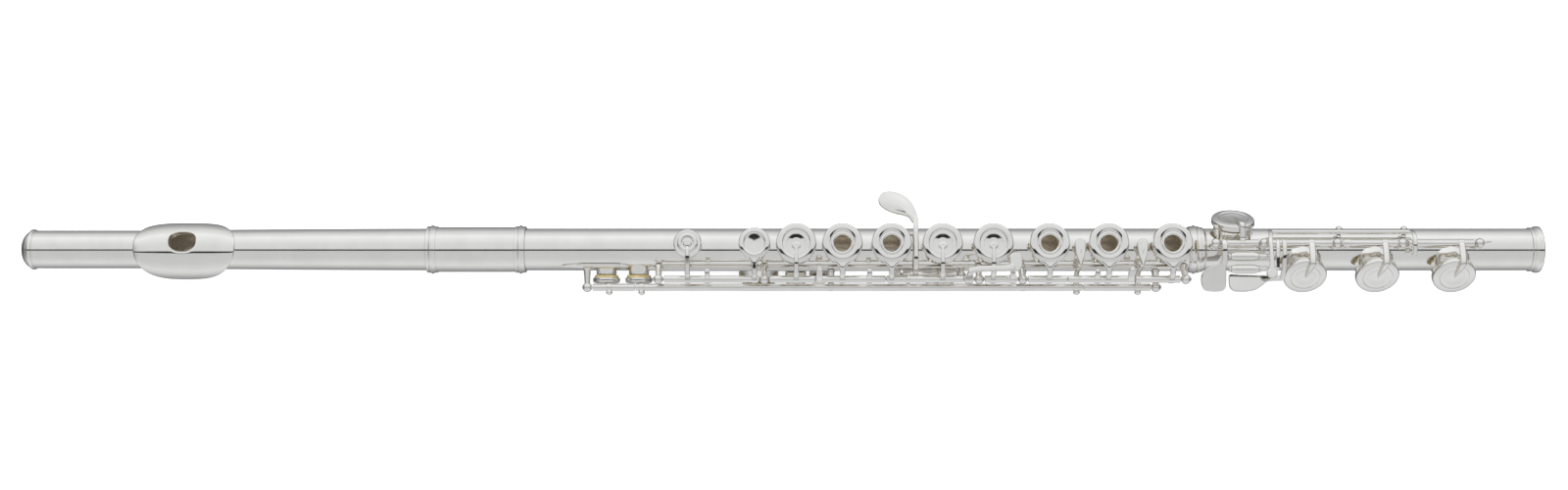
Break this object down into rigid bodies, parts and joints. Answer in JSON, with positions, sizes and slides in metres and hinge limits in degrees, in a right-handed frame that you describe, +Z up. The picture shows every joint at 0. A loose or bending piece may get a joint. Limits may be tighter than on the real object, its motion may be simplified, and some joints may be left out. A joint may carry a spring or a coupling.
{
  "type": "concert flute",
  "caption": "Concert flute: slim silver tube with a lip plate, hinged key cups on rods along one side, finger holes, trill keys and a B foot joint.",
  "frame": {"origin": "middle of the bottom of the flute's box, below the tube's mid-length", "axes": "+X runs from the crown to the open foot end, +Z up through the finger keys, +Y away from the player, with the hinge rods on the -Y side"},
  "size_m": [0.7164, 0.0508, 0.0406],
  "materials": {
    "silver_plate": "polished",
    "steel": "satin",
    "pad_skin": "matte",
    "cork": "matte"
  },
  "bodies": {
    "body_joint": {"body_tube": "silver_plate", "barrel": "silver_plate", "main_rib": "silver_plate", "trill_rib": "silver_plate", "back_rib": "silver_plate", "upper_steel": "steel", "lower_steel": "steel", "g_sharp_steel": "steel", "thumb_steel": "steel"},
    "head_joint": {"head_tube": "silver_plate", "lip_plate": "silver_plate", "embouchure_riser": "silver_plate"},
    "crown": {"crown": "silver_plate"},
    "stopper": {"stopper_screw": "steel", "stopper_cork": "cork", "stopper_nut": "steel"},
    "c_key": {"c_key": "silver_plate", "c_sharp_pad": "pad_skin", "c_pad": "pad_skin"},
    "b_flat_key": {"b_flat_key": "silver_plate", "b_flat_pad": "pad_skin"},
    "a_key": {"a_key": "silver_plate", "a_pad": "pad_skin"},
    "g_key": {"g_key": "silver_plate", "g_upper_pad": "pad_skin", "g_lower_pad": "pad_skin"},
    "f_sharp_key": {"f_sharp_key": "silver_plate", "f_sharp_pad": "pad_skin"},
    "f_key": {"f_key": "silver_plate", "f_pad": "pad_skin"},
    "e_key": {"e_key": "silver_plate", "e_pad": "pad_skin"},
    "d_key": {"d_key": "silver_plate", "d_pad": "pad_skin"},
    "g_sharp_key": {"g_sharp_key": "silver_plate", "g_sharp_pad": "pad_skin"},
    "thumb_b_key": {"thumb_b_key": "silver_plate", "thumb_b_pad": "pad_skin"},
    "thumb_b_flat_lever": {"thumb_b_flat_lever": "silver_plate"},
    "b_flat_side_lever": {"b_flat_side_lever": "silver_plate"},
    "d_trill_key": {"d_trill_key": "silver_plate", "d_trill_pad": "pad_skin"},
    "d_sharp_trill_key": {"d_sharp_trill_key": "silver_plate", "d_sharp_trill_pad": "pad_skin"},
    "foot_joint": {"foot_tube": "silver_plate", "foot_rib": "silver_plate", "d_sharp_steel": "steel", "b_steel": "steel"},
    "d_sharp_foot_key": {"d_sharp_foot_key": "silver_plate", "d_sharp_foot_pad": "pad_skin"},
    "c_sharp_foot_key": {"c_sharp_foot_key": "silver_plate", "c_sharp_foot_pad": "pad_skin"},
    "c_foot_key": {"c_foot_key": "silver_plate", "c_foot_pad": "pad_skin"},
    "b_foot_key": {"b_foot_key": "silver_plate", "b_foot_pad": "pad_skin"},
    "b_lever": {"b_lever": "silver_plate"},
    "c_roller": {"c_roller": "silver_plate"},
    "b_roller": {"b_roller": "silver_plate"}
  },
  "joints": [
    {"name": "head_slide", "type": "slide", "parent": "body_joint", "child": "head_joint", "axis": [-1, 0, 0], "range_m": [0, 0.039]},
    {"name": "crown_turn", "type": "hinge", "parent": "head_joint", "child": "crown", "pos_m": [-0.35295, -0.00228, 0.02052], "axis": [-1, 0, 0], "range_deg": [-360, 360]},
    {"name": "stopper_slide", "type": "slide", "parent": "head_joint", "child": "stopper", "axis": [-1, 0, 0], "range_m": [-0.001, 0.001]},
    {"name": "c_key_press", "type": "hinge", "parent": "body_joint", "child": "c_key", "pos_m": [-0.04285, -0.01868, 0.02952], "axis": [-1, 0, 0], "range_deg": [0, 9], "stiffness_Nm_per_rad": 0.02, "springref_deg": -14.32},
    {"name": "b_flat_key_press", "type": "hinge", "parent": "body_joint", "child": "b_flat_key", "pos_m": [0.00775, -0.01868, 0.02952], "axis": [-1, 0, 0], "range_deg": [0, 9], "stiffness_Nm_per_rad": 0.02, "springref_deg": -14.32},
    {"name": "a_key_press", "type": "hinge", "parent": "body_joint", "child": "a_key", "pos_m": [0.02925, -0.01868, 0.02952], "axis": [-1, 0, 0], "range_deg": [0, 9], "stiffness_Nm_per_rad": 0.02, "springref_deg": -14.32},
    {"name": "g_key_press", "type": "hinge", "parent": "body_joint", "child": "g_key", "pos_m": [0.05215, -0.01868, 0.02952], "axis": [-1, 0, 0], "range_deg": [0, 9], "stiffness_Nm_per_rad": 0.02, "springref_deg": -14.32},
    {"name": "f_sharp_key_press", "type": "hinge", "parent": "body_joint", "child": "f_sharp_key", "pos_m": [0.09945, -0.01868, 0.02952], "axis": [-1, 0, 0], "range_deg": [0, 9], "stiffness_Nm_per_rad": 0.02, "springref_deg": -14.32},
    {"name": "f_key_press", "type": "hinge", "parent": "body_joint", "child": "f_key", "pos_m": [0.12565, -0.01868, 0.02952], "axis": [-1, 0, 0], "range_deg": [0, 9], "stiffness_Nm_per_rad": 0.02, "springref_deg": -14.32},
    {"name": "e_key_press", "type": "hinge", "parent": "body_joint", "child": "e_key", "pos_m": [0.15315, -0.01868, 0.02952], "axis": [-1, 0, 0], "range_deg": [0, 9], "stiffness_Nm_per_rad": 0.02, "springref_deg": -14.32},
    {"name": "d_key_press", "type": "hinge", "parent": "body_joint", "child": "d_key", "pos_m": [0.18285, -0.01868, 0.02952], "axis": [-1, 0, 0], "range_deg": [0, 9], "stiffness_Nm_per_rad": 0.02, "springref_deg": -14.32},
    {"name": "g_sharp_press", "type": "hinge", "parent": "body_joint", "child": "g_sharp_key", "pos_m": [0.06365, -0.01508, 0.02352], "axis": [-1, 0, 0], "range_deg": [0, 8], "stiffness_Nm_per_rad": 0.02, "springref_deg": -14.32},
    {"name": "thumb_b_press", "type": "hinge", "parent": "body_joint", "child": "thumb_b_key", "pos_m": [-0.01005, 0.00572, 0.00792], "axis": [-1, 0, 0], "range_deg": [0, 9], "stiffness_Nm_per_rad": 0.02, "springref_deg": -14.32},
    {"name": "thumb_b_flat_press", "type": "hinge", "parent": "body_joint", "child": "thumb_b_flat_lever", "pos_m": [0.01905, 0.00572, 0.00792], "axis": [-1, 0, 0], "range_deg": [0, 6], "stiffness_Nm_per_rad": 0.02, "springref_deg": -14.32},
    {"name": "side_lever_press", "type": "hinge", "parent": "body_joint", "child": "b_flat_side_lever", "pos_m": [0.08825, -0.01868, 0.02952], "axis": [-1, 0, 0], "range_deg": [0, 5], "stiffness_Nm_per_rad": 0.02, "springref_deg": -14.32},
    {"name": "d_trill_press", "type": "hinge", "parent": "body_joint", "child": "d_trill_key", "pos_m": [0.14005, -0.02098, 0.02252], "axis": [-1, 0, 0], "range_deg": [0, 10], "stiffness_Nm_per_rad": 0.02, "springref_deg": -14.32},
    {"name": "d_sharp_trill_press", "type": "hinge", "parent": "body_joint", "child": "d_sharp_trill_key", "pos_m": [0.16905, -0.02098, 0.02252], "axis": [-1, 0, 0], "range_deg": [0, 10], "stiffness_Nm_per_rad": 0.02, "springref_deg": -14.32},
    {"name": "foot_swivel", "type": "hinge", "parent": "body_joint", "child": "foot_joint", "pos_m": [0.19515, -0.00228, 0.02052], "axis": [1, 0, 0], "continuous": true},
    {"name": "d_sharp_foot_press", "type": "hinge", "parent": "foot_joint", "child": "d_sharp_foot_key", "pos_m": [0.21275, -0.00278, 0.03542], "axis": [1, 0, 0], "range_deg": [0, 11], "stiffness_Nm_per_rad": 0.02, "springref_deg": -14.32},
    {"name": "c_sharp_foot_press", "type": "hinge", "parent": "foot_joint", "child": "c_sharp_foot_key", "pos_m": [0.24535, -0.00278, 0.03542], "axis": [1, 0, 0], "range_deg": [0, 9], "stiffness_Nm_per_rad": 0.02, "springref_deg": -14.32},
    {"name": "c_foot_press", "type": "hinge", "parent": "foot_joint", "child": "c_foot_key", "pos_m": [0.27915, -0.00278, 0.03542], "axis": [1, 0, 0], "range_deg": [0, 9], "stiffness_Nm_per_rad": 0.02, "springref_deg": -14.32},
    {"name": "b_foot_press", "type": "hinge", "parent": "foot_joint", "child": "b_foot_key", "pos_m": [0.31495, -0.00278, 0.03542], "axis": [1, 0, 0], "range_deg": [0, 9], "stiffness_Nm_per_rad": 0.02, "springref_deg": -14.32},
    {"name": "b_lever_press", "type": "hinge", "parent": "foot_joint", "child": "b_lever", "pos_m": [0.22945, 0.00332, 0.03222], "axis": [1, 0, 0], "range_deg": [0, 4.5], "stiffness_Nm_per_rad": 0.02, "springref_deg": -14.32},
    {"name": "c_roller_turn", "type": "hinge", "parent": "c_foot_key", "child": "c_roller", "pos_m": [0.21625, -0.01523, 0.03547], "axis": [1, 0, 0], "continuous": true},
    {"name": "b_roller_turn", "type": "hinge", "parent": "b_lever", "child": "b_roller", "pos_m": [0.21625, -0.00928, 0.03612], "axis": [1, 0, 0], "continuous": true}
  ],
  "couplings": [
    {"joint": "stopper_slide", "follows": "crown_turn", "m_per_rad": 0.00015915},
    {"joint": "b_flat_key_press", "follows": "a_key_press", "ratio": 1},
    {"joint": "f_sharp_key_press", "follows": "f_key_press", "ratio": 1},
    {"joint": "b_foot_press", "follows": "b_lever_press", "ratio": 2}
  ]
}
